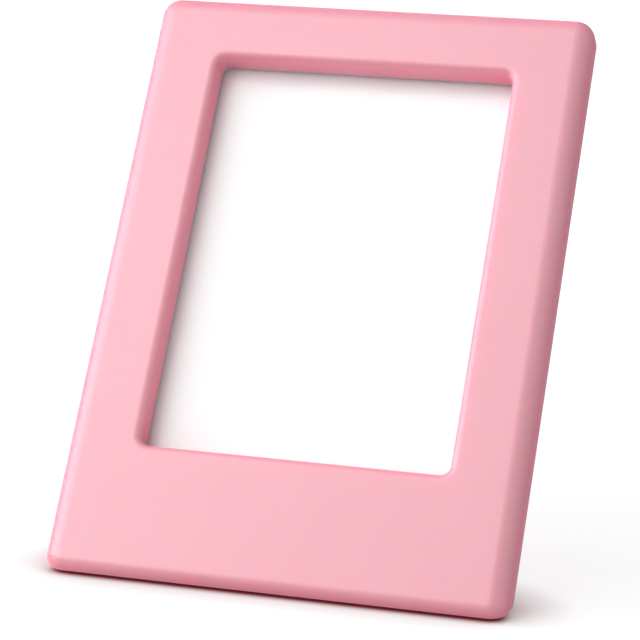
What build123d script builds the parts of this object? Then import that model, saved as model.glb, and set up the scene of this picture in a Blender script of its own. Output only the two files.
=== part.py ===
# Small magnetic photo frame that leans back on a folding leg, in millimetres.
# X runs across the frame, Y towards its back and Z up. The origin lies on the table,
# under the middle of the rubber strip on which the frame stands.
#
# Places on the leaning frame are given by three numbers: across (X), height (up along
# the face, from the edge where the face would meet the base) and depth (straight in
# from the face).

import os
from math import cos, radians, sin, tan

from build123d import *

os.makedirs("parts", exist_ok=True)

# Photo card, an instant print: the frame is drawn round it
card_width = 54.0
card_height = 86.0
card_thickness = 0.5
card_corner_radius = 1.0

# Outer body: a shallow shell round the card, with a narrower housing behind it
lean_angle = 30
side_border = 7.0
top_border = 2.4
front_edge_radius = 2.8
corner_extra_radius = 0.2
base_edge_radius = 1.6
back_edge_radius = 0.5
wall = 2.0
base_wall = 1.8
inner_corner_radius = 1.0

# Window in the face
window_side_lap = 4.0
window_low_lap = 14.8
window_top_border = 10.3
window_corner_radius = 1.5
window_edge_radius = 1.1
window_depth = 4.1
window_wall = 1.7

# Clear pane, glued behind the window wall
pane_thickness = 0.5
pane_margin = 0.2

# Slot in which the card slides
card_gap = 0.1
card_side_gap = 0.3
card_lift = 0.8
card_stop_inset = 7.3
card_stop_gap = 0.05
rail_thickness = 1.0
slot_lead = 0.4

# Ribs that carry the card below the window
chin_rib_thickness = 1.2
chin_rib_spacing = 15.0

# Plate that closes the shell behind the card, and the posts that press on it
plate_thickness = 1.0
plate_inset = 1.0
post_radius = 1.6
post_inset = 14.0
post_low_height = 13.5
post_high_height = 50.0

# Back cover, the housing behind the shell
cover_thickness = 2.0
cover_inset = 2.15
cover_wall = 1.6
cover_corner_radius = 1.6
cover_edge_radius = 0.8

# Screws, sunk in the cover, through the plate into bosses in the shell
screw_radius = 0.85
screw_length = 5.8
screw_sink = 2.7
screw_head_radius = 1.6
screw_head_height = 1.0
screw_head_gap = 0.1
screw_thread_gap = 0.02
screw_hole_gap = 0.1
screw_head_edge = 0.35
screw_cross_length = 2.0
screw_cross_width = 0.5
screw_cross_depth = 0.55
screw_point = 0.6
screw_hole_spare = 0.5
screw_post_wall = 1.1
boss_radius = 1.7
boss_end_distance = 6.2
boss_web = 1.4

# Thumb opening in the back
thumb_width = 18.0
thumb_height = 15.0
thumb_top_border = 4.2
thumb_corner_radius = 5.0
thumb_sleeve = 1.2

# Disc magnets in cups in the back cover
magnet_radius = 5.0
magnet_thickness = 2.0
magnet_gap = 0.05
magnet_recess = 0.1
magnet_inset = 10.2
magnet_low_height = 27.0
magnet_top_inset = 22.0
magnet_cup_wall = 1.3
magnet_edge_radius = 0.2

# Leg, its recess and its hinge
leg_open_angle = 40
hinge_height = 57.0
leg_width = 20.0
leg_tip_width = 14.0
leg_shoulder = 12.0
leg_thickness = 3.0
leg_corner_radius = 1.2
leg_edge_radius = 0.4
leg_panel_border = 2.6
leg_panel_depth = 0.6
leg_sink = 0.1
leg_side_gap = 0.4
barrel_radius = 1.7
barrel_gap = 0.05
barrel_floor_gap = 0.6
heel_stop_gap = 0.08
recess_plate_gap = 0.6
recess_wall = 1.2
recess_top_gap = 0.4
recess_low_gap = 0.8
recess_corner_radius = 1.6
pin_radius = 0.9
pin_gap = 0.02
ear_thickness = 2.4
ear_reach = 2.3
nail_scoop_radius = 5.0
nail_scoop_depth = 1.3
nail_scoop_height = 20.0

# Rubber parts
foot_thickness = 1.2
foot_inset = 0.15
pad_end_inset = 8.0
pad_width = 4.4
pad_thickness = 1.0
pad_proud = 0.3
pad_corner_radius = 1.5
pad_gap = 0.05

# One overrun serves all cuts
overrun = 2.0

lean = radians(lean_angle)
frame_width = card_width + 2 * side_border
half_width = frame_width / 2
corner_radius = front_edge_radius + corner_extra_radius

# Depths of the layers, one behind another. The shell ends just behind the card. Behind
# the plate come the floor of the leg's recess, the barrel of the leg and the cover's rear
# face, just above the leg's.
pane_back = window_depth + pane_thickness
card_front = pane_back + card_gap
card_back = card_front + card_thickness
shell_back = card_back + card_gap
plate_back = shell_back + plate_thickness
recess_floor = plate_back + recess_plate_gap + recess_wall
hinge_depth = recess_floor + barrel_floor_gap + barrel_radius
frame_thickness = hinge_depth + barrel_radius + leg_sink
cover_front = frame_thickness - cover_thickness

# The face would meet the base plane at this edge. The rubber strip lies in the middle
# of the cover's base, and its underside is the table.
pad_centre = (plate_back + frame_thickness) / 2 / cos(lean)
edge_y = -pad_centre
edge_z = pad_proud

face_plane = Plane(
    origin=(0, edge_y, edge_z),
    x_dir=(1, 0, 0),
    z_dir=(0, -cos(lean), sin(lean)),
)

# Up along the face, and straight out of it
upward = Axis(face_plane.origin, face_plane.y_dir)
outward = Axis(face_plane.origin, face_plane.z_dir)


def at_depth(depth):
    """Plane parallel to the face, a given depth behind it."""
    return face_plane.offset(-depth)


def base_height(depth, above=0):
    """Height, along the face, of the base plane or of a plane above it."""
    return depth * tan(lean) + above / cos(lean)


def side_point(height, depth):
    """The place of a height and a depth in the YZ plane."""
    return (
        edge_y + height * sin(lean) + depth * cos(lean),
        edge_z + height * cos(lean) - depth * sin(lean),
    )


def leaning_block(width, front, back, floor_gap, top_gap, mode=Mode.ADD):
    """Block between two depths, cut level at the base, as the whole frame is."""
    top = frame_height - top_gap
    with BuildSketch(Plane.YZ) as side:
        with BuildLine():
            Polyline(
                side_point(base_height(front, floor_gap), front),
                side_point(top, front),
                side_point(top, back),
                side_point(base_height(back, floor_gap), back),
                close=True,
            )
        make_face()
    extrude(side.sketch, amount=width / 2, both=True, mode=mode)


def plate_block(width, low, high, front, back, radius=0, mode=Mode.ADD):
    """Block centred across the frame, between two heights and two depths."""
    with BuildSketch(at_depth(back)) as outline:
        with Locations((0, (low + high) / 2)):
            if radius > 0:
                RectangleRounded(width, high - low, radius)
            else:
                Rectangle(width, high - low)
    extrude(outline.sketch, amount=back - front, mode=mode)


def discs(places, radius, front, back, mode=Mode.ADD):
    """Equal round discs, square to the face, at places across and up it."""
    with BuildSketch(at_depth(back)) as outline:
        with Locations(*places):
            Circle(radius)
    extrude(outline.sketch, amount=back - front, mode=mode)


# Heights that several pieces share: the card stands on its stop and carries the rest
stop_height = base_height(shell_back, base_wall) + card_lift
card_low = stop_height + card_stop_gap
card_high = card_low + card_height
frame_height = card_high + top_border
window_width = card_width - 2 * window_side_lap
window_low = card_low + window_low_lap
window_top = frame_height - window_top_border
inner_width = frame_width - 2 * wall
cover_width = frame_width - 2 * cover_inset
rail_inner = card_width / 2 + card_side_gap
rail_outer = rail_inner + rail_thickness
boss_x = rail_inner + boss_radius
boss_low = base_height(cover_front, base_wall) + boss_end_distance
boss_high = frame_height - wall - boss_end_distance
boss_places = [(x, height) for height in (boss_low, boss_high) for x in (-boss_x, boss_x)]
screw_top = frame_thickness - screw_sink
screw_seat = screw_top - screw_head_height
screw_tip = screw_seat - screw_length
thumb_high = frame_height - thumb_top_border
thumb_low = thumb_high - thumb_height
pad_length = frame_width - 2 * pad_end_inset
magnet_x = half_width - magnet_inset
magnet_places = [
    (x, height)
    for height in (magnet_low_height, frame_height - magnet_top_inset)
    for x in (-magnet_x, magnet_x)
]
magnet_back = frame_thickness - magnet_recess
magnet_front = magnet_back - magnet_thickness
magnet_floor = magnet_front - magnet_gap
hinge_y, hinge_z = side_point(hinge_height, hinge_depth)
recess_width = leg_width + 2 * leg_side_gap

# The leg turns about the pin, and its outer face is level with its barrel. Folded, that
# face lies just under the cover's. Open, the heel meets the floor of the recess and the
# foot stands on the table.
leg_outer = barrel_radius
leg_inner = leg_thickness - leg_outer
open_turn = radians(leg_open_angle)
leg_tilt = open_turn - lean
heel_length = (
    hinge_depth - recess_floor - heel_stop_gap - leg_inner * cos(open_turn)
) / sin(open_turn)
leg_reach = hinge_z / cos(leg_tilt)
heel_sweep = (heel_length**2 + leg_outer**2) ** 0.5
recess_high = hinge_height + heel_sweep + recess_top_gap
folded_reach = leg_reach + max(leg_outer, leg_inner) * tan(leg_tilt)
recess_low = hinge_height - folded_reach - recess_low_gap

# In the open leg's own plane, x runs across the frame, y from the pin down to the
# foot and z out of the leg's rear face.
leg_plane = Plane(
    origin=(0, hinge_y, hinge_z),
    x_dir=(1, 0, 0),
    z_dir=(0, cos(leg_tilt), sin(leg_tilt)),
)


def run_along_face(edge):
    """How far an edge runs up or down the face."""
    return abs((edge @ 1 - edge @ 0).dot(face_plane.y_dir))


def corner_edges(edges):
    """The edges from front to back where a side meets the top or the base."""
    return edges.filter_by(Axis.X, reverse=True).filter_by(
        lambda edge: run_along_face(edge) < frame_thickness
    )


def cross_bar(radius, length, mode=Mode.ADD):
    """Round bar on the hinge axis, centred across the frame."""
    with BuildSketch(Plane.YZ) as section:
        with Locations((hinge_y, hinge_z)):
            Circle(radius)
    extrude(section.sketch, amount=length / 2, both=True, mode=mode)


# Front shell: face, sides and base in one moulding, open at the back
with BuildPart() as front_shell:
    # a slab, rounded at its upper corners and round its face, cut level at its base and
    # then rounded there and at the rear
    plate_block(frame_width, -overrun, frame_height, 0, shell_back)
    fillet(front_shell.edges().filter_by(outward).sort_by(upward)[-2:], corner_radius)
    face_edges = front_shell.faces().sort_by(outward)[-1].edges()
    fillet(face_edges.sort_by(upward)[1:], front_edge_radius)
    split(bisect_by=Plane.XY.offset(edge_z), keep=Keep.TOP)
    base_edges = front_shell.faces().sort_by(Axis.Z)[0].edges()
    fillet(base_edges.sort_by(Axis.Y)[:-1], base_edge_radius)
    fillet(front_shell.faces().sort_by(outward)[0].edges(), back_edge_radius)

    # the hollow inside
    leaning_block(
        inner_width, wall, shell_back + overrun, base_wall, wall, mode=Mode.SUBTRACT
    )
    fillet(corner_edges(front_shell.edges(Select.LAST)), inner_corner_radius)

    # the window and the wall round it
    plate_block(
        window_width + 2 * window_wall,
        window_low - window_wall,
        window_top + window_wall,
        wall,
        window_depth,
        window_corner_radius + window_wall,
    )
    plate_block(
        window_width,
        window_low,
        window_top,
        -overrun,
        window_depth + overrun,
        window_corner_radius,
        mode=Mode.SUBTRACT,
    )
    face = front_shell.faces().sort_by(outward)[-1]
    fillet(face.inner_wires().edges(), window_edge_radius)

    # rails at the sides of the card, and the ledge and ribs that carry it
    rib_low = base_height(shell_back, base_wall / 2)
    rail_high = frame_height - wall
    with BuildSketch(at_depth(shell_back)):
        with Locations((0, (rib_low + rail_high) / 2)):
            with GridLocations(rail_inner + rail_outer, 0, 2, 1):
                Rectangle(rail_thickness, rail_high - rib_low)
        with Locations((0, (rib_low + stop_height) / 2)):
            Rectangle(2 * (rail_inner - card_stop_inset), stop_height - rib_low)
    extrude(amount=shell_back - wall)
    chin_high = window_low - window_wall
    with BuildSketch(at_depth(pane_back)):
        with Locations((0, (stop_height + chin_high) / 2)):
            with GridLocations(2 * chin_rib_spacing, 0, 2, 1):
                Rectangle(chin_rib_thickness, chin_high - stop_height)
    extrude(amount=pane_back - wall)

    # bosses for the screws, each webbed to its side wall
    discs(boss_places, boss_radius, wall, shell_back)
    web_length = half_width - boss_x - wall / 2
    with BuildSketch(at_depth(shell_back)):
        for x, height in boss_places:
            side = 1 if x > 0 else -1
            with Locations((x + side * web_length / 2, height)):
                Rectangle(web_length, boss_web)
    extrude(amount=shell_back - wall)
    discs(
        boss_places,
        screw_radius + screw_thread_gap,
        screw_tip - screw_hole_spare,
        shell_back + overrun,
        mode=Mode.SUBTRACT,
    )

    # the notch in the rear of the top, through which the card slides out
    plate_block(
        2 * rail_inner,
        frame_height - wall - overrun,
        frame_height + overrun,
        pane_back,
        shell_back + overrun,
        mode=Mode.SUBTRACT,
    )
    top_face = front_shell.faces().sort_by(upward)[-1]
    chamfer(top_face.edges().sort_by(SortBy.LENGTH)[-2], slot_lead)

# Clear pane, glued to the rear of the window wall
with BuildPart() as window_pane:
    plate_block(
        window_width + 2 * (window_wall - pane_margin),
        window_low - window_wall + pane_margin,
        window_top + window_wall - pane_margin,
        window_depth,
        pane_back,
        window_corner_radius + window_wall - pane_margin,
    )

# Blank photo card, which slides up and out through the slot in the top
with BuildPart() as photo_card:
    plate_block(card_width, card_low, card_high, card_front, card_back, card_corner_radius)

# Backing plate: it lies between the shell and the cover, and closes the slot of the card
with BuildPart() as backing_plate:
    leaning_block(
        frame_width - 2 * plate_inset, shell_back, plate_back, plate_inset, plate_inset
    )
    fillet(corner_edges(backing_plate.edges()), cover_corner_radius)
    discs(
        boss_places,
        screw_radius + screw_hole_gap,
        shell_back - overrun,
        plate_back + overrun,
        mode=Mode.SUBTRACT,
    )
    plate_block(
        thumb_width,
        thumb_low,
        thumb_high,
        shell_back - overrun,
        plate_back + overrun,
        thumb_corner_radius,
        mode=Mode.SUBTRACT,
    )

# Back cover: a shallow box with the leg recess, hinge ears, magnet cups and thumb opening
with BuildPart() as back_cover:
    leaning_block(cover_width, plate_back, frame_thickness, 0, cover_inset)
    fillet(corner_edges(back_cover.edges()), cover_corner_radius)
    fillet(back_cover.faces().sort_by(outward)[0].edges(), cover_edge_radius)
    leaning_block(
        cover_width - 2 * cover_wall,
        plate_back - overrun,
        cover_front,
        base_wall,
        cover_inset + cover_wall,
        mode=Mode.SUBTRACT,
    )

    plate_block(
        recess_width + 2 * recess_wall,
        recess_low - recess_wall,
        recess_high + recess_wall,
        recess_floor - recess_wall,
        cover_front,
        recess_corner_radius + recess_wall,
    )
    with BuildSketch(at_depth(cover_front)):
        with Locations((0, hinge_height)):
            with GridLocations(recess_width + ear_thickness, 0, 2, 1):
                Rectangle(ear_thickness, 2 * ear_reach)
    extrude(amount=cover_front - hinge_depth + ear_reach)
    discs(
        magnet_places,
        magnet_radius + magnet_gap + magnet_cup_wall,
        magnet_floor - magnet_cup_wall,
        cover_front,
    )
    discs(
        [
            (x, height)
            for height in (post_low_height, post_high_height)
            for x in (post_inset - half_width, half_width - post_inset)
        ],
        post_radius,
        plate_back,
        cover_front,
    )
    plate_block(
        thumb_width + 2 * thumb_sleeve,
        thumb_low - thumb_sleeve,
        thumb_high + thumb_sleeve,
        plate_back,
        cover_front,
        thumb_corner_radius + thumb_sleeve,
    )
    discs(
        boss_places,
        screw_head_radius + screw_head_gap + screw_post_wall,
        plate_back,
        cover_front,
    )
    leaning_block(cover_width, 0, frame_thickness, 0, cover_inset, mode=Mode.INTERSECT)

    # cuts from the back
    plate_block(
        recess_width,
        recess_low,
        recess_high,
        recess_floor,
        frame_thickness + overrun,
        recess_corner_radius,
        mode=Mode.SUBTRACT,
    )
    discs(
        [(side * recess_width / 2, nail_scoop_height) for side in (-1, 1)],
        nail_scoop_radius,
        frame_thickness - nail_scoop_depth,
        frame_thickness + overrun,
        mode=Mode.SUBTRACT,
    )
    discs(
        magnet_places,
        magnet_radius + magnet_gap,
        magnet_floor,
        frame_thickness + overrun,
        mode=Mode.SUBTRACT,
    )
    plate_block(
        thumb_width,
        thumb_low,
        thumb_high,
        plate_back - overrun,
        frame_thickness + overrun,
        thumb_corner_radius,
        mode=Mode.SUBTRACT,
    )
    discs(
        boss_places,
        screw_radius + screw_hole_gap,
        plate_back - overrun,
        frame_thickness + overrun,
        mode=Mode.SUBTRACT,
    )
    discs(
        boss_places,
        screw_head_radius + screw_head_gap,
        screw_seat,
        frame_thickness + overrun,
        mode=Mode.SUBTRACT,
    )
    cross_bar(
        pin_radius + pin_gap, recess_width + 2 * (ear_thickness + overrun), mode=Mode.SUBTRACT
    )

    # the groove in the base for the rubber strip
    with BuildSketch(Plane.XY.offset(edge_z - overrun)):
        RectangleRounded(
            pad_length + 2 * pad_gap, pad_width + 2 * pad_gap, pad_corner_radius + pad_gap
        )
    extrude(amount=overrun + pad_thickness - edge_z, mode=Mode.SUBTRACT)

# Four disc magnets, glued into the cups
with BuildPart() as magnets:
    discs(magnet_places, magnet_radius, magnet_front, magnet_back)
    fillet(magnets.edges().filter_by(GeomType.CIRCLE), magnet_edge_radius)

# Four pan-head screws with a cross in the head
with BuildPart() as cover_screws:
    discs(boss_places, screw_head_radius, screw_seat, screw_top)
    fillet(cover_screws.edges().group_by(outward)[0], screw_head_edge)
    discs(boss_places, screw_radius, screw_tip, screw_seat)
    chamfer(cover_screws.edges().group_by(outward)[-1], screw_point)
    with BuildSketch(at_depth(screw_top)):
        with Locations(*boss_places):
            Rectangle(screw_cross_length, screw_cross_width)
            Rectangle(screw_cross_width, screw_cross_length)
    extrude(amount=screw_cross_depth, mode=Mode.SUBTRACT)

# Steel hinge pin, held in the cover's ears
with BuildPart() as hinge_pin:
    cross_bar(pin_radius, recess_width + 2 * ear_thickness)


def leg_half_width(reach):
    """Half the leg's width at a distance below the pin: even, then tapered."""
    taper = max(0, reach - leg_shoulder) / (leg_reach - leg_shoulder)
    return leg_width / 2 - taper * (leg_width - leg_tip_width) / 2


def leg_outline(start, end, side_inset, level):
    """Part of the open leg's outline, at a level above the pin in the leg's plane."""
    sides = [(leg_half_width(reach) - side_inset, reach) for reach in (start, leg_shoulder, end)]
    with BuildSketch(leg_plane.offset(level)) as outline:
        with BuildLine():
            Polyline(*sides, *[(-x, reach) for x, reach in reversed(sides)], close=True)
        make_face()
    return outline.sketch


# Stand leg: heel, barrel round the pin and a tapered blade, cut level at its end
with BuildPart() as stand_leg:
    extrude(
        leg_outline(-heel_length, leg_reach + leg_thickness, 0, -leg_inner),
        amount=leg_thickness,
    )
    upright = Axis(leg_plane.origin, leg_plane.z_dir)
    fillet(stand_leg.edges().filter_by(upright), leg_corner_radius)
    fillet(stand_leg.faces().sort_by(upright)[-1].edges(), leg_edge_radius)
    cross_bar(barrel_radius, leg_width)
    cross_bar(pin_radius + barrel_gap, leg_width + overrun, mode=Mode.SUBTRACT)
    extrude(
        leg_outline(
            barrel_radius + leg_panel_border,
            leg_reach - leg_panel_border,
            leg_panel_border,
            leg_outer - leg_panel_depth,
        ),
        amount=leg_panel_depth + overrun,
        mode=Mode.SUBTRACT,
    )
    split(bisect_by=Plane.XY.offset(foot_thickness), keep=Keep.TOP)

# Rubber foot, glued to the level end of the leg
with BuildPart() as leg_foot:
    extrude(
        leg_outline(leg_shoulder / 2, leg_reach + leg_thickness, foot_inset, foot_inset - leg_inner),
        amount=leg_thickness - 2 * foot_inset,
    )
    split(bisect_by=Plane.XY.offset(foot_thickness), keep=Keep.BOTTOM)
    split(bisect_by=Plane.XY, keep=Keep.TOP)

# Rubber strip in the groove of the base
with BuildPart() as base_pad:
    with BuildSketch(Plane.XY):
        RectangleRounded(pad_length, pad_width, pad_corner_radius)
    extrude(amount=pad_thickness)

pieces = {
    "front_shell": front_shell,
    "window_pane": window_pane,
    "photo_card": photo_card,
    "backing_plate": backing_plate,
    "back_cover": back_cover,
    "magnets": magnets,
    "cover_screws": cover_screws,
    "hinge_pin": hinge_pin,
    "stand_leg": stand_leg,
    "leg_foot": leg_foot,
    "base_pad": base_pad,
}
for name, piece in pieces.items():
    piece.part.label = name
    export_step(piece.part, f"parts/{name}.step")
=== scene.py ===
# Small magnetic photo frame in pink moulded plastic, leaning back on its folding leg.
# All sizes are in metres, in the frame's own place: X across, Y to the back, Z up.

from math import radians

import bpy
from mathutils import Matrix, Vector

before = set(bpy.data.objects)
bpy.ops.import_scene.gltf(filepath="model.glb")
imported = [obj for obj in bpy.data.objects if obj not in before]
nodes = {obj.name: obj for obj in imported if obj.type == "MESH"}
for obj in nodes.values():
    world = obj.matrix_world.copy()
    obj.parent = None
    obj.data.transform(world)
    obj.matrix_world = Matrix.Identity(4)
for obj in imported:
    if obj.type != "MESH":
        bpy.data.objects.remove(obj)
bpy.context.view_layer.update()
millimetre = 0.001


# Front shell
# The pink surround is one moulding in satin ABS: face, rounded sides, the window's
# inner walls and the level base. The mould leaves a very fine grain and the colour
# drifts a little where the melt flowed.

pink = (0.85, 0.295, 0.375, 1.0)
pink_deep = (0.83, 0.275, 0.355, 1.0)
pink_rubbed = (0.88, 0.375, 0.44, 1.0)
shell_drift_scale = 25.0
shell_grain_scale = 5200.0


def remap(tree, source, low, high, to_low=0.0, to_high=1.0):
    """Turns one range of values into another and holds the rest at its ends."""
    node = tree.nodes.new("ShaderNodeMapRange")
    node.inputs["From Min"].default_value = low
    node.inputs["From Max"].default_value = high
    node.inputs["To Min"].default_value = to_low
    node.inputs["To Max"].default_value = to_high
    tree.links.new(source, node.inputs["Value"])
    return node.outputs["Result"]


def own_place(tree):
    """The piece's own coordinates, so that a pattern rides with the piece."""
    return tree.nodes.new("ShaderNodeTexCoord").outputs["Object"]


def cloudy_noise(tree, place, scale, detail, roughness=0.5):
    """Noise at a place; the scale comes from a socket."""
    noise = tree.nodes.new("ShaderNodeTexNoise")
    noise.inputs["Detail"].default_value = detail
    noise.inputs["Roughness"].default_value = roughness
    tree.links.new(place, noise.inputs["Vector"])
    tree.links.new(scale, noise.inputs["Scale"])
    return noise.outputs["Fac"]


def new_group(name, inputs, outputs):
    """A shader node group with its own sockets; returns the group and its two ends."""
    group = bpy.data.node_groups.new(name, "ShaderNodeTree")
    for label, value in inputs.items():
        socket = group.interface.new_socket(
            label, in_out="INPUT", socket_type="NodeSocketFloat"
        )
        socket.default_value = value
    for label, kind in outputs.items():
        group.interface.new_socket(label, in_out="OUTPUT", socket_type=kind)
    start = group.nodes.new("NodeGroupInput")
    end = group.nodes.new("NodeGroupOutput")
    return group, start, end


def make_drift():
    """Slow, cloudy change over a surface, from 0 to 1."""
    group, start, end = new_group(
        "slow_drift", {"Scale": 20.0}, {"Mask": "NodeSocketFloat"}
    )
    cloud = cloudy_noise(group, own_place(group), start.outputs["Scale"], detail=3.0)
    group.links.new(cloud, end.inputs["Mask"])
    return group


def make_grain():
    """Fine grain of a moulded or sanded surface, as a height from 0 to 1."""
    group, start, end = new_group(
        "fine_grain", {"Scale": 4000.0}, {"Height": "NodeSocketFloat"}
    )
    grain = cloudy_noise(
        group, own_place(group), start.outputs["Scale"], detail=2.0, roughness=0.6
    )
    group.links.new(grain, end.inputs["Height"])
    return group


def make_edges():
    """Edges softened a little, and a patchy mask of the edges that hands and tables rub."""
    flat, turned = 0.995, 0.93
    whole_patch, bare_patch = 0.42, 0.62
    group, start, end = new_group(
        "worn_edges",
        {"Radius": 0.4 * millimetre, "Patches": 300.0},
        {"Normal": "NodeSocketVector", "Mask": "NodeSocketFloat"},
    )
    bevel = group.nodes.new("ShaderNodeBevel")
    bevel.samples = 6
    group.links.new(start.outputs["Radius"], bevel.inputs["Radius"])
    group.links.new(bevel.outputs["Normal"], end.inputs["Normal"])
    spot = group.nodes.new("ShaderNodeNewGeometry")
    agree = group.nodes.new("ShaderNodeVectorMath")
    agree.operation = "DOT_PRODUCT"
    group.links.new(bevel.outputs["Normal"], agree.inputs[0])
    group.links.new(spot.outputs["Normal"], agree.inputs[1])
    edge = remap(group, agree.outputs["Value"], flat, turned)
    cloud = cloudy_noise(group, own_place(group), start.outputs["Patches"], detail=3.0)
    patches = remap(group, cloud, whole_patch, bare_patch)
    worn = group.nodes.new("ShaderNodeMath")
    worn.operation = "MULTIPLY"
    group.links.new(edge, worn.inputs[0])
    group.links.new(patches, worn.inputs[1])
    group.links.new(worn.outputs["Value"], end.inputs["Mask"])
    return group


def make_marks():
    """Thin rub marks that run one way: mostly 0, and 1 inside a mark."""
    mark_turn = (0.3, 0.5, 0.9)
    mark_stretch = (1.0, 9.0, 1.0)
    unmarked, marked = 0.6, 0.72
    group, start, end = new_group(
        "rub_marks", {"Scale": 120.0}, {"Mask": "NodeSocketFloat"}
    )
    stretch = group.nodes.new("ShaderNodeMapping")
    stretch.inputs["Rotation"].default_value = mark_turn
    stretch.inputs["Scale"].default_value = mark_stretch
    group.links.new(own_place(group), stretch.inputs["Vector"])
    streaks = cloudy_noise(
        group, stretch.outputs["Vector"], start.outputs["Scale"], detail=4.0, roughness=0.7
    )
    group.links.new(remap(group, streaks, unmarked, marked), end.inputs["Mask"])
    return group


slow_drift = make_drift()
fine_grain = make_grain()
worn_edges = make_edges()
rub_marks = make_marks()


def place_group(tree, group, **values):
    """Puts a node group into a material and sets its inputs."""
    node = tree.nodes.new("ShaderNodeGroup")
    node.node_tree = group
    for label, value in values.items():
        node.inputs[label].default_value = value
    return node


def span(tree, drift, low, high):
    """Spreads the middle part of a drift, where nearly all of it lies, over a range."""
    return remap(tree, drift, 0.3, 0.7, low, high)


def blend(tree, kind, source, first, second):
    """Mixes two colours or two values by a mask; each is a number or a socket."""
    node = tree.nodes.new("ShaderNodeMix")
    node.data_type = kind
    sockets = [socket for socket in node.inputs if socket.enabled]
    tree.links.new(source, sockets[0])
    for value, socket in ((first, sockets[1]), (second, sockets[2])):
        if isinstance(value, bpy.types.NodeSocket):
            tree.links.new(value, socket)
        else:
            socket.default_value = value
    return next(socket for socket in node.outputs if socket.enabled)


def blend_colours(tree, source, first, second):
    """Mixes two colours by a mask."""
    return blend(tree, "RGBA", source, first, second)


def blend_values(tree, source, first, second):
    """Mixes two values by a mask."""
    return blend(tree, "FLOAT", source, first, second)


def drifting_colour(tree, drift, first, second):
    """A colour that drifts between two others over the surface."""
    return blend_colours(tree, span(tree, drift, 0.0, 1.0), first, second)


def bump(tree, source, depth, strength, normal=None):
    """Turns a height into a normal, on a softened one if given; depth is in metres."""
    node = tree.nodes.new("ShaderNodeBump")
    node.inputs["Distance"].default_value = depth
    node.inputs["Strength"].default_value = strength
    tree.links.new(source, node.inputs["Height"])
    if normal is not None:
        tree.links.new(normal, node.inputs["Normal"])
    return node.outputs["Normal"]


def new_material(name):
    """A material with only a Principled shader; returns it, its tree and the shader."""
    material = bpy.data.materials.new(name)
    material.use_nodes = True
    tree = material.node_tree
    return material, tree, tree.nodes["Principled BSDF"]


def set_plain(shader, values):
    """Sets the shader's sockets that are the same all over the surface."""
    for label, value in values.items():
        shader.inputs[label].default_value = value


def dress(node, material):
    """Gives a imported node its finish."""
    for slot in nodes[node].material_slots:
        slot.material = material


def pink_plastic(name, drift_scale, grain_scale):
    """Satin pink ABS that lets a little light in; its edges are rubbed paler and smoother.

    A white sheen lies on what is seen square on, and the turned sides stay deep pink.
    """
    satin_low, satin_high = 0.40, 0.46
    gloss_in_marks = 0.34
    gloss_on_edges = 0.30
    grain_depth = 0.02 * millimetre
    grain_strength = 0.25
    full_sheen, no_sheen = 0.13, 0.62

    material, tree, shader = new_material(name)
    drift = place_group(tree, slow_drift, Scale=drift_scale).outputs["Mask"]
    grain = place_group(tree, fine_grain, Scale=grain_scale).outputs["Height"]
    edges = place_group(tree, worn_edges)
    marks = place_group(tree, rub_marks, Scale=drift_scale).outputs["Mask"]

    colour = drifting_colour(tree, drift, pink, pink_deep)
    colour = blend_colours(tree, edges.outputs["Mask"], colour, pink_rubbed)
    tree.links.new(colour, shader.inputs["Base Color"])

    gloss = span(tree, drift, satin_low, satin_high)
    gloss = blend_values(tree, marks, gloss, gloss_in_marks)
    gloss = blend_values(tree, edges.outputs["Mask"], gloss, gloss_on_edges)
    tree.links.new(gloss, shader.inputs["Roughness"])

    normal = bump(tree, grain, grain_depth, grain_strength, edges.outputs["Normal"])
    tree.links.new(normal, shader.inputs["Normal"])

    facing = tree.nodes.new("ShaderNodeLayerWeight")
    facing.inputs["Blend"].default_value = 0.5
    sheen = remap(tree, facing.outputs["Facing"], full_sheen, no_sheen, 1.0, 0.0)
    tree.links.new(sheen, shader.inputs["Coat Weight"])
    set_plain(
        shader,
        {
            "Coat Roughness": 0.5,
            "Coat IOR": 2.2,
            "Coat Tint": (0.90, 0.98, 1.0, 1.0),
            "Specular IOR Level": 0.0,
            "Subsurface Weight": 1.0,
            "Subsurface Radius": (1.0, 0.2, 0.22),
            "Subsurface Scale": 2.5 * millimetre,
        },
    )
    return material


dress("front_shell", pink_plastic("shell_plastic", shell_drift_scale, shell_grain_scale))


# Window pane
# A thin clear sheet of polyester, cut flat and glued behind the window's wall. It is so
# clear that only its gloss shows, a little dulled where prints have rubbed it.

pane_gloss_low, pane_gloss_high = 0.05, 0.09
pane_gloss_in_marks = 0.25
pane_film_low, pane_film_high = 0.03, 0.05

material, tree, shader = new_material("clear_sheet")
drift = place_group(tree, slow_drift, Scale=60.0).outputs["Mask"]
marks = place_group(tree, rub_marks, Scale=90.0).outputs["Mask"]
gloss = span(tree, drift, pane_gloss_low, pane_gloss_high)
gloss = blend_values(tree, marks, gloss, pane_gloss_in_marks)
tree.links.new(gloss, shader.inputs["Roughness"])
film = span(tree, drift, pane_film_low, pane_film_high)
tree.links.new(film, shader.inputs["Alpha"])
set_plain(shader, {"Base Color": (0.95, 0.97, 0.98, 1.0), "IOR": 1.57})
dress("window_pane", material)


# Photo card
# The blank print is smooth white card with a satin coating, in which the fibres show
# faintly. It stands loose in the slot behind the pane and slides out at the top.

card_white = (0.95, 0.95, 0.95, 1.0)
card_white_thin = (0.93, 0.93, 0.93, 1.0)
card_gloss_low, card_gloss_high = 0.5, 0.56
card_gloss_in_marks = 0.42
fibre_depth = 0.01 * millimetre
fibre_strength = 0.2

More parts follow.
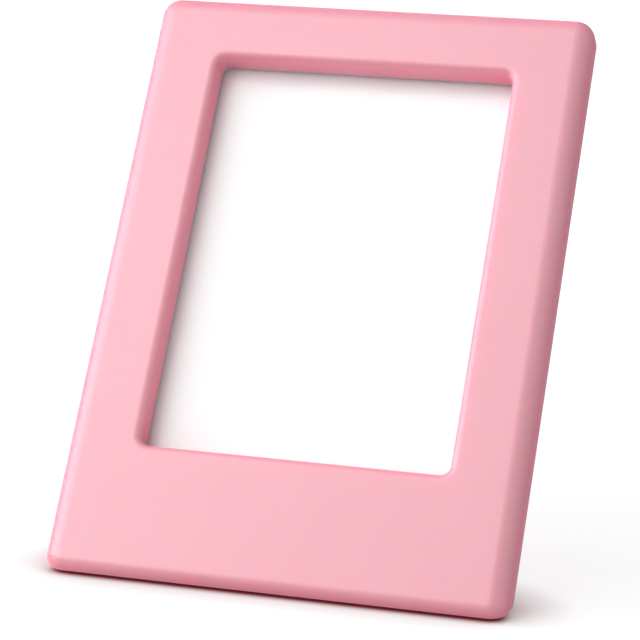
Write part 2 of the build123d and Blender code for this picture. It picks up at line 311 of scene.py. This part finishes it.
material, tree, shader = new_material("white_print")
drift = place_group(tree, slow_drift, Scale=90.0).outputs["Mask"]
fibres = place_group(tree, fine_grain, Scale=1800.0).outputs["Height"]
marks = place_group(tree, rub_marks, Scale=70.0).outputs["Mask"]
colour = drifting_colour(tree, drift, card_white_thin, card_white)
tree.links.new(colour, shader.inputs["Base Color"])
gloss = span(tree, drift, card_gloss_low, card_gloss_high)
gloss = blend_values(tree, marks, gloss, card_gloss_in_marks)
tree.links.new(gloss, shader.inputs["Roughness"])
normal = bump(tree, fibres, fibre_depth, fibre_strength)
tree.links.new(normal, shader.inputs["Normal"])
set_plain(shader, {"Coat Weight": 1.0, "Coat Roughness": 0.5, "Coat IOR": 2.1})
dress("photo_card", material)


# Backing plate
# A flat moulded plate in the shell's pink plastic, screwed between the shell and the
# cover. It closes the slot behind the card.

plate_drift_scale = 40.0
plate_grain_scale = 3600.0
dress("backing_plate", pink_plastic("plate_plastic", plate_drift_scale, plate_grain_scale))


# Back cover
# The rear moulding, a shallow box in the shell's pink plastic with the coarser grain of
# a face that isn't meant to be seen. Four screws hold it to the shell.

cover_drift_scale = 30.0
cover_grain_scale = 2600.0
dress("back_cover", pink_plastic("cover_plastic", cover_drift_scale, cover_grain_scale))


# Magnets
# Four sintered discs with bright nickel plating, glued flush into the back cover. The
# steel they are put on leaves fine rub marks and polishes their rims.

nickel_stained = (0.50, 0.48, 0.44, 1.0)
nickel_clean = (0.60, 0.58, 0.54, 1.0)
nickel_rubbed = (0.74, 0.72, 0.68, 1.0)
nickel_drift_scale = 160.0
nickel_marks_scale = 180.0
nickel_grain_scale = 5000.0
magnet_rim_radius = 0.15 * millimetre
magnet_rim_patches = 300.0


def plated_metal(name, colours, glosses, drift_scale, marks_scale, grain_scale, edge):
    """Plated metal with faint stains and rub marks, rubbed bright along its edges.

    The colours are the stained, the clean and the rubbed one, the glosses the lowest,
    the highest and the one in a mark, and the edge is its radius and its patches.
    """
    grain_depth = 0.01 * millimetre
    grain_strength = 0.3
    stained, clean, rubbed = colours
    gloss_low, gloss_high, gloss_in_marks = glosses
    edge_radius, edge_patches = edge

    material, tree, shader = new_material(name)
    drift = place_group(tree, slow_drift, Scale=drift_scale).outputs["Mask"]
    marks = place_group(tree, rub_marks, Scale=marks_scale).outputs["Mask"]
    grain = place_group(tree, fine_grain, Scale=grain_scale).outputs["Height"]
    edges = place_group(tree, worn_edges, Radius=edge_radius, Patches=edge_patches)

    colour = drifting_colour(tree, drift, stained, clean)
    colour = blend_colours(tree, edges.outputs["Mask"], colour, rubbed)
    tree.links.new(colour, shader.inputs["Base Color"])

    gloss = span(tree, drift, gloss_low, gloss_high)
    gloss = blend_values(tree, marks, gloss, gloss_in_marks)
    tree.links.new(gloss, shader.inputs["Roughness"])

    normal = bump(tree, grain, grain_depth, grain_strength, edges.outputs["Normal"])
    tree.links.new(normal, shader.inputs["Normal"])
    set_plain(shader, {"Metallic": 1.0})
    return material


dress(
    "magnets",
    plated_metal(
        "nickel_plate",
        (nickel_stained, nickel_clean, nickel_rubbed),
        (0.18, 0.30, 0.45),
        nickel_drift_scale,
        nickel_marks_scale,
        nickel_grain_scale,
        (magnet_rim_radius, magnet_rim_patches),
    ),
)


# Cover screws
# Four pan-head screws of zinc-plated steel with a cross in the head. They go through
# the cover and the backing plate into the shell's bosses.

zinc_stained = (0.46, 0.46, 0.48, 1.0)
zinc_clean = (0.56, 0.56, 0.57, 1.0)
zinc_rubbed = (0.68, 0.68, 0.68, 1.0)
zinc_grain_scale = 6000.0
zinc_edge_radius = 0.1 * millimetre
zinc_edge_patches = 900.0
screw_drift_scale = 400.0


def zinc_plated_steel(name, drift_scale):
    """Bright zinc plating on a small steel piece."""
    return plated_metal(
        name,
        (zinc_stained, zinc_clean, zinc_rubbed),
        (0.28, 0.4, 0.5),
        drift_scale,
        2 * drift_scale,
        zinc_grain_scale,
        (zinc_edge_radius, zinc_edge_patches),
    )


dress("cover_screws", zinc_plated_steel("screw_steel", screw_drift_scale))


# Hinge pin
# A rod of drawn steel, plated like the screws. It is pressed through the cover's two
# ears, and the leg turns on it.

pin_drift_scale = 200.0
dress("hinge_pin", zinc_plated_steel("pin_steel", pin_drift_scale))


# Stand leg
# The folding leg is moulded in the shell's pink plastic, with the cover's coarser grain
# and a shallow panel in its rear face. It swings in the cover's recess.

leg_drift_scale = 35.0
leg_grain_scale = 2600.0
dress("stand_leg", pink_plastic("leg_plastic", leg_drift_scale, leg_grain_scale))


# Leg foot and base pad
# Both are soft dark rubber, cut from sheet and glued on, so that the frame doesn't slip.
# The cut leaves a rough skin, and dust settles along the edges.

rubber_black = (0.022, 0.022, 0.024, 1.0)
rubber_grey = (0.04, 0.04, 0.042, 1.0)
rubber_dusty = (0.10, 0.095, 0.09, 1.0)
foot_grain_scale = 1500.0
pad_grain_scale = 1200.0


def sheet_rubber(name, grain_scale):
    """Matt rubber with a rough, cut skin, dusty along its edges."""
    drift_scale = 120.0
    edge_radius = 0.25 * millimetre
    edge_patches = 700.0
    matt_low, matt_high = 0.7, 0.82
    grain_depth = 0.05 * millimetre
    grain_strength = 0.5

    material, tree, shader = new_material(name)
    drift = place_group(tree, slow_drift, Scale=drift_scale).outputs["Mask"]
    grain = place_group(tree, fine_grain, Scale=grain_scale).outputs["Height"]
    edges = place_group(tree, worn_edges, Radius=edge_radius, Patches=edge_patches)

    colour = drifting_colour(tree, drift, rubber_black, rubber_grey)
    colour = blend_colours(tree, edges.outputs["Mask"], colour, rubber_dusty)
    tree.links.new(colour, shader.inputs["Base Color"])
    gloss = span(tree, drift, matt_low, matt_high)
    tree.links.new(gloss, shader.inputs["Roughness"])
    normal = bump(tree, grain, grain_depth, grain_strength, edges.outputs["Normal"])
    tree.links.new(normal, shader.inputs["Normal"])
    return material


dress("leg_foot", sheet_rubber("foot_rubber", foot_grain_scale))
dress("base_pad", sheet_rubber("pad_rubber", pad_grain_scale))


# Table
# A wide white table top. Seen directly it is near white, and it keeps the frame's soft
# shadow. The dark line where the base meets it is painted shade, tinted with painted pink
# light from the frame.

table_half = 4.0
table_white = (0.8, 0.8, 0.8, 1.0)
contact_reach = 12 * millimetre
contact_closed, contact_open = 0.15, 0.95
# Painted shade: near the base the table's seen colour and glow turn dark pink, for shade
# and pink bounce light.
painted_contact_shade = (0.22, 0.05, 0.07, 1.0)
shadow_in_open = (0.28, 0.28, 0.28, 1.0)
painted_contact_glow = (0.10, 0.01, 0.015, 1.0)
glow_in_open = (1.0, 1.0, 1.0, 1.0)
glow_near, glow_far = 0.8, 1.0
near_distance, far_distance = 0.12, 0.6

table_corners = [
    (x * table_half, y * table_half, 0.0)
    for x, y in ((-1, -1), (1, -1), (1, 1), (-1, 1))
]
table_mesh = bpy.data.meshes.new("table_top")
table_mesh.from_pydata(table_corners, [], [(0, 1, 2, 3)])
table = bpy.data.objects.new("table_top", table_mesh)
bpy.context.scene.collection.objects.link(table)


def seen_directly(tree):
    """1 for what the camera sees, also through clear pieces and in glossy ones, else 0."""
    path = tree.nodes.new("ShaderNodeLightPath")
    seen = path.outputs["Is Camera Ray"]
    for label in ("Is Glossy Ray", "Is Transmission Ray"):
        either = tree.nodes.new("ShaderNodeMath")
        either.operation = "MAXIMUM"
        tree.links.new(seen, either.inputs[0])
        tree.links.new(path.outputs[label], either.inputs[1])
        seen = either.outputs["Value"]
    return seen


def swap_when_seen(tree, plain, shown, surface):
    """Uses one shader for the light in the room and another where it is seen directly."""
    mix = tree.nodes.new("ShaderNodeMixShader")
    tree.links.new(seen_directly(tree), mix.inputs["Fac"])
    tree.links.new(plain, mix.inputs[1])
    tree.links.new(shown, mix.inputs[2])
    tree.links.new(mix.outputs["Shader"], surface)


material = bpy.data.materials.new("white_table")
material.use_nodes = True
tree = material.node_tree
tree.nodes.remove(tree.nodes["Principled BSDF"])
plain = tree.nodes.new("ShaderNodeBsdfDiffuse")
plain.inputs["Color"].default_value = table_white

# An occlusion mask paints the contact shade, tinted pink as painted light from the frame.
occlusion = tree.nodes.new("ShaderNodeAmbientOcclusion")
occlusion.inputs["Distance"].default_value = contact_reach
openness = remap(tree, occlusion.outputs["AO"], contact_closed, contact_open)
shown = tree.nodes.new("ShaderNodeBsdfDiffuse")
shadow = blend_colours(tree, openness, painted_contact_shade, shadow_in_open)
tree.links.new(shadow, shown.inputs["Color"])

spot = tree.nodes.new("ShaderNodeNewGeometry")
distance = tree.nodes.new("ShaderNodeVectorMath")
distance.operation = "LENGTH"
tree.links.new(spot.outputs["Position"], distance.inputs[0])
strength = remap(
    tree, distance.outputs["Value"], near_distance, far_distance, glow_near, glow_far
)
glow = tree.nodes.new("ShaderNodeEmission")
tint = blend_colours(tree, openness, painted_contact_glow, glow_in_open)
tree.links.new(tint, glow.inputs["Color"])
tree.links.new(strength, glow.inputs["Strength"])

both = tree.nodes.new("ShaderNodeAddShader")
tree.links.new(shown.outputs["BSDF"], both.inputs[0])
tree.links.new(glow.outputs["Emission"], both.inputs[1])
surface = tree.nodes["Material Output"].inputs["Surface"]
swap_when_seen(tree, plain.outputs["BSDF"], both.outputs["Shader"], surface)
table_mesh.materials.append(material)


# Studio light
# A large soft box high in front and to the left, a smaller one at the left that draws
# the light edge on the frame's side, and a white room round the table.

room_level = 0.45
backdrop_level = 1.0
lit_spot = (0.0, 0.015, 0.04)
key_place = (-0.50, -0.50, 0.72)
key_size = 0.9
key_power = 6.2
side_place = (-0.85, -0.05, 0.40)
side_size = 0.4
side_power = 4.4

world = bpy.data.worlds.new("white_room")
bpy.context.scene.world = world
world.use_nodes = True
tree = world.node_tree
room = tree.nodes["Background"]
backdrop = tree.nodes.new("ShaderNodeBackground")
for white, level in ((room, room_level), (backdrop, backdrop_level)):
    white.inputs["Color"].default_value = (1.0, 1.0, 1.0, 1.0)
    white.inputs["Strength"].default_value = level
surface = tree.nodes["World Output"].inputs["Surface"]
swap_when_seen(tree, room.outputs["Background"], backdrop.outputs["Background"], surface)


def soft_box(name, place, size, power):
    """A square soft box at a place, turned to the frame."""
    light = bpy.data.lights.new(name, "AREA")
    light.shape = "SQUARE"
    light.size = size
    light.energy = power
    lamp = bpy.data.objects.new(name, light)
    lamp.location = place
    lamp.rotation_mode = "QUATERNION"
    aim = Vector(lit_spot) - Vector(place)
    lamp.rotation_quaternion = aim.to_track_quat("-Z", "Y")
    bpy.context.scene.collection.objects.link(lamp)


soft_box("key_box", key_place, key_size, key_power)
soft_box("side_box", side_place, side_size, side_power)


# Camera
# A long lens, a little above the table and to the right, rolled slightly as in the
# photograph.

camera_place = Vector((0.09412, -0.34481, 0.09344))
camera_aim = Vector((-0.00051, 0.01437, 0.03622))
camera_roll = radians(2.612)
camera_data = bpy.data.cameras.new("camera")
camera_data.sensor_width = 36.0
camera_data.lens = 143.79
camera_data.clip_start = 0.01
camera_data.clip_end = 20.0
camera = bpy.data.objects.new("camera", camera_data)
camera.location = camera_place
turn = (camera_aim - camera_place).to_track_quat("-Z", "Y").to_matrix().to_4x4()
camera.rotation_mode = "QUATERNION"
camera.rotation_quaternion = (turn @ Matrix.Rotation(camera_roll, 4, "Z")).to_quaternion()
bpy.context.scene.collection.objects.link(camera)
bpy.context.scene.camera = camera

bpy.context.scene.view_settings.view_transform = "Standard"
